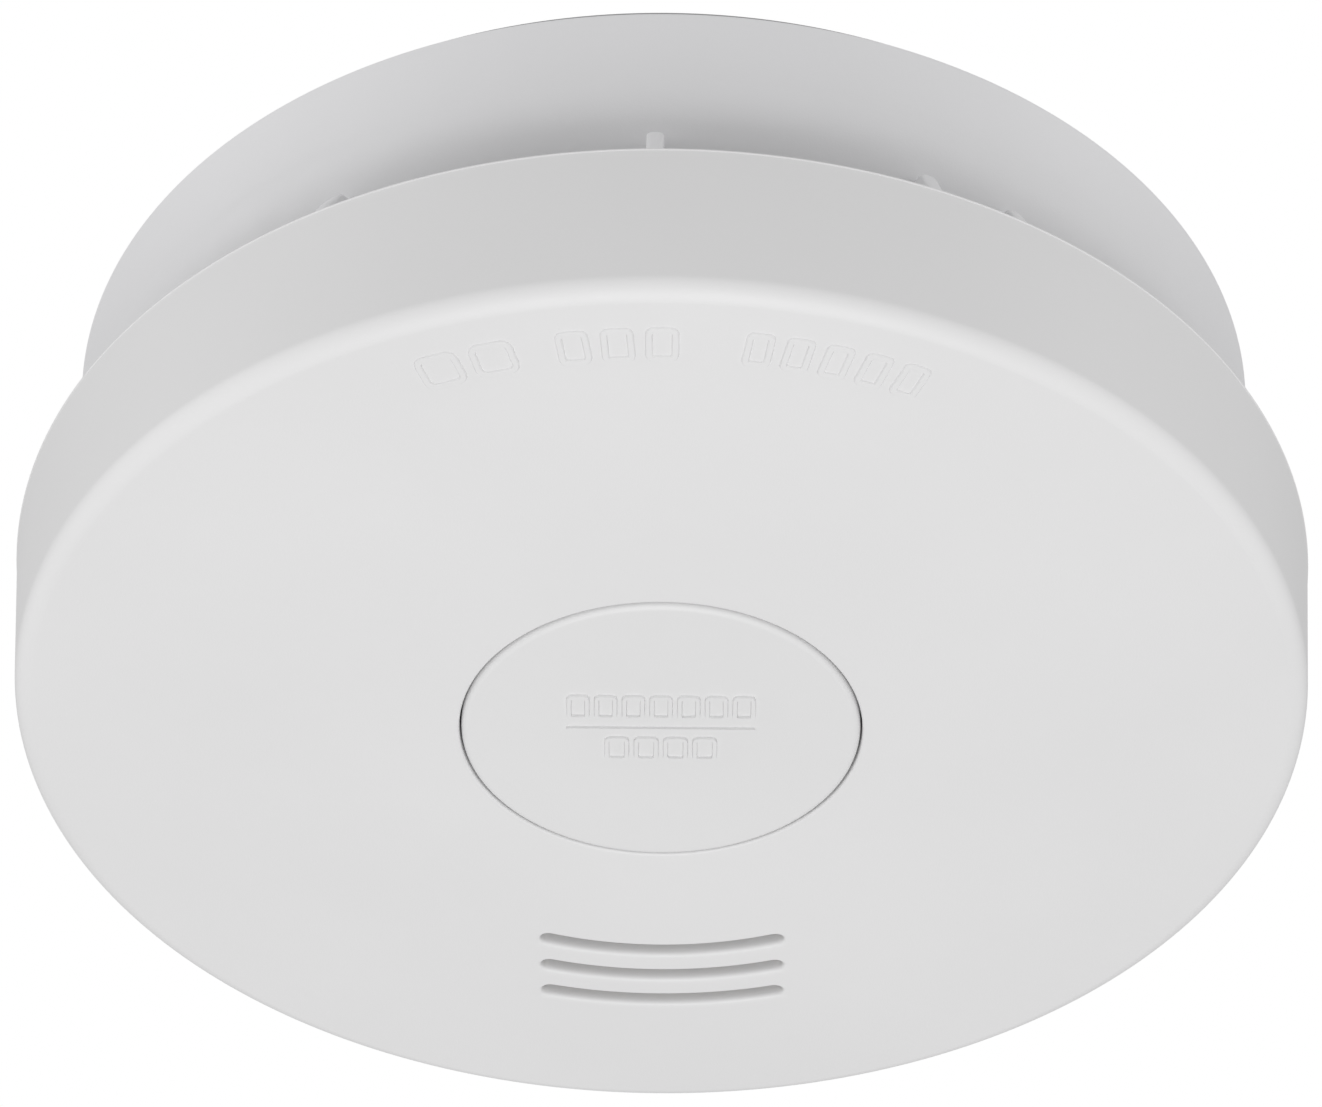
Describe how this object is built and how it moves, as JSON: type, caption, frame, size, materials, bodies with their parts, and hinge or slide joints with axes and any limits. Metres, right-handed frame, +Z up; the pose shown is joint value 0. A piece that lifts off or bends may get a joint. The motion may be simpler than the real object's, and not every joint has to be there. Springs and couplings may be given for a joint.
{
  "type": "ceiling carbon monoxide detector",
  "caption": "Round ceiling-mounted gas alarm: slim mounting plate, bowl-shaped back shell, shallow drafted front cover, central test button, sound slots and a battery bay behind.",
  "frame": {"origin": "centre of the mounting plate's back face, which lies flat on the ceiling", "axes": "+Z up into the ceiling, with the detector hanging below; the sound slots are on the +Y side"},
  "size_m": [0.106, 0.106, 0.0355],
  "materials": {
    "cover_plastic": "fine satin moulding",
    "shell_plastic": "fine satin moulding",
    "button_plastic": "satin moulding",
    "plate_plastic": "matt grey moulding",
    "screen_plastic": "matt natural moulding",
    "board_laminate": "solder mask over glass laminate",
    "black_plastic": "satin moulding",
    "steel": "zinc plated",
    "plated_contact": "nickel plated",
    "brass_sheet": "rolled sheet",
    "ceramic": "silvered ceramic",
    "red_lens": "clear red moulding",
    "cell_wrap": "printed sleeve",
    "foam": "open foam"
  },
  "bodies": {
    "plate": {"mounting_plate": "plate_plastic"},
    "detector": {"back_shell": "shell_plastic", "front_cover": "cover_plastic", "insect_screen": "screen_plastic", "main_board": "board_laminate", "switch_body": "black_plastic", "switch_frame": "steel", "co_sensor_can": "steel", "co_sensor_cap": "black_plastic", "co_sensor_filter": "foam", "co_sensor_pin_1": "plated_contact", "co_sensor_pin_2": "plated_contact", "co_sensor_pin_3": "plated_contact", "horn_cup": "screen_plastic", "horn_seal": "foam", "piezo_plate": "brass_sheet", "piezo_ceramic": "ceramic", "horn_pin_1": "plated_contact", "horn_pin_2": "plated_contact", "battery_cell_front": "cell_wrap", "battery_cell_rear": "cell_wrap", "battery_contact_positive": "plated_contact", "battery_contact_negative": "plated_contact", "battery_contact_link": "plated_contact", "battery_spring_front": "plated_contact", "battery_spring_rear": "plated_contact", "cover_screw_1": "steel", "cover_screw_2": "steel", "cover_screw_3": "steel", "cover_screw_4": "steel", "microcontroller": "black_plastic", "timing_crystal": "steel", "storage_capacitor": "black_plastic", "horn_transformer": "black_plastic", "status_led": "red_lens", "chip_resistor_1": "black_plastic", "chip_resistor_2": "black_plastic", "chip_resistor_3": "black_plastic", "chip_resistor_4": "black_plastic"},
    "button": {"test_button": "button_plastic"},
    "switch": {"switch_plunger": "black_plastic"}
  },
  "joints": [
    {"name": "twist_lock", "type": "hinge", "parent": "plate", "child": "detector", "pos_m": [0, 0, 0], "axis": [0, 0, 1], "range_deg": [-18, 0]},
    {"name": "button_press", "type": "slide", "parent": "detector", "child": "button", "axis": [0, 0, 1], "range_m": [0, 0.0006], "stiffness_N_per_m": 900, "springref_m": -0.003},
    {"name": "switch_press", "type": "slide", "parent": "detector", "child": "switch", "axis": [0, 0, 1], "range_m": [0, 0.0003]}
  ],
  "couplings": [
    {"joint": "switch_press", "follows": "button_press", "ratio": 0.5}
  ]
}
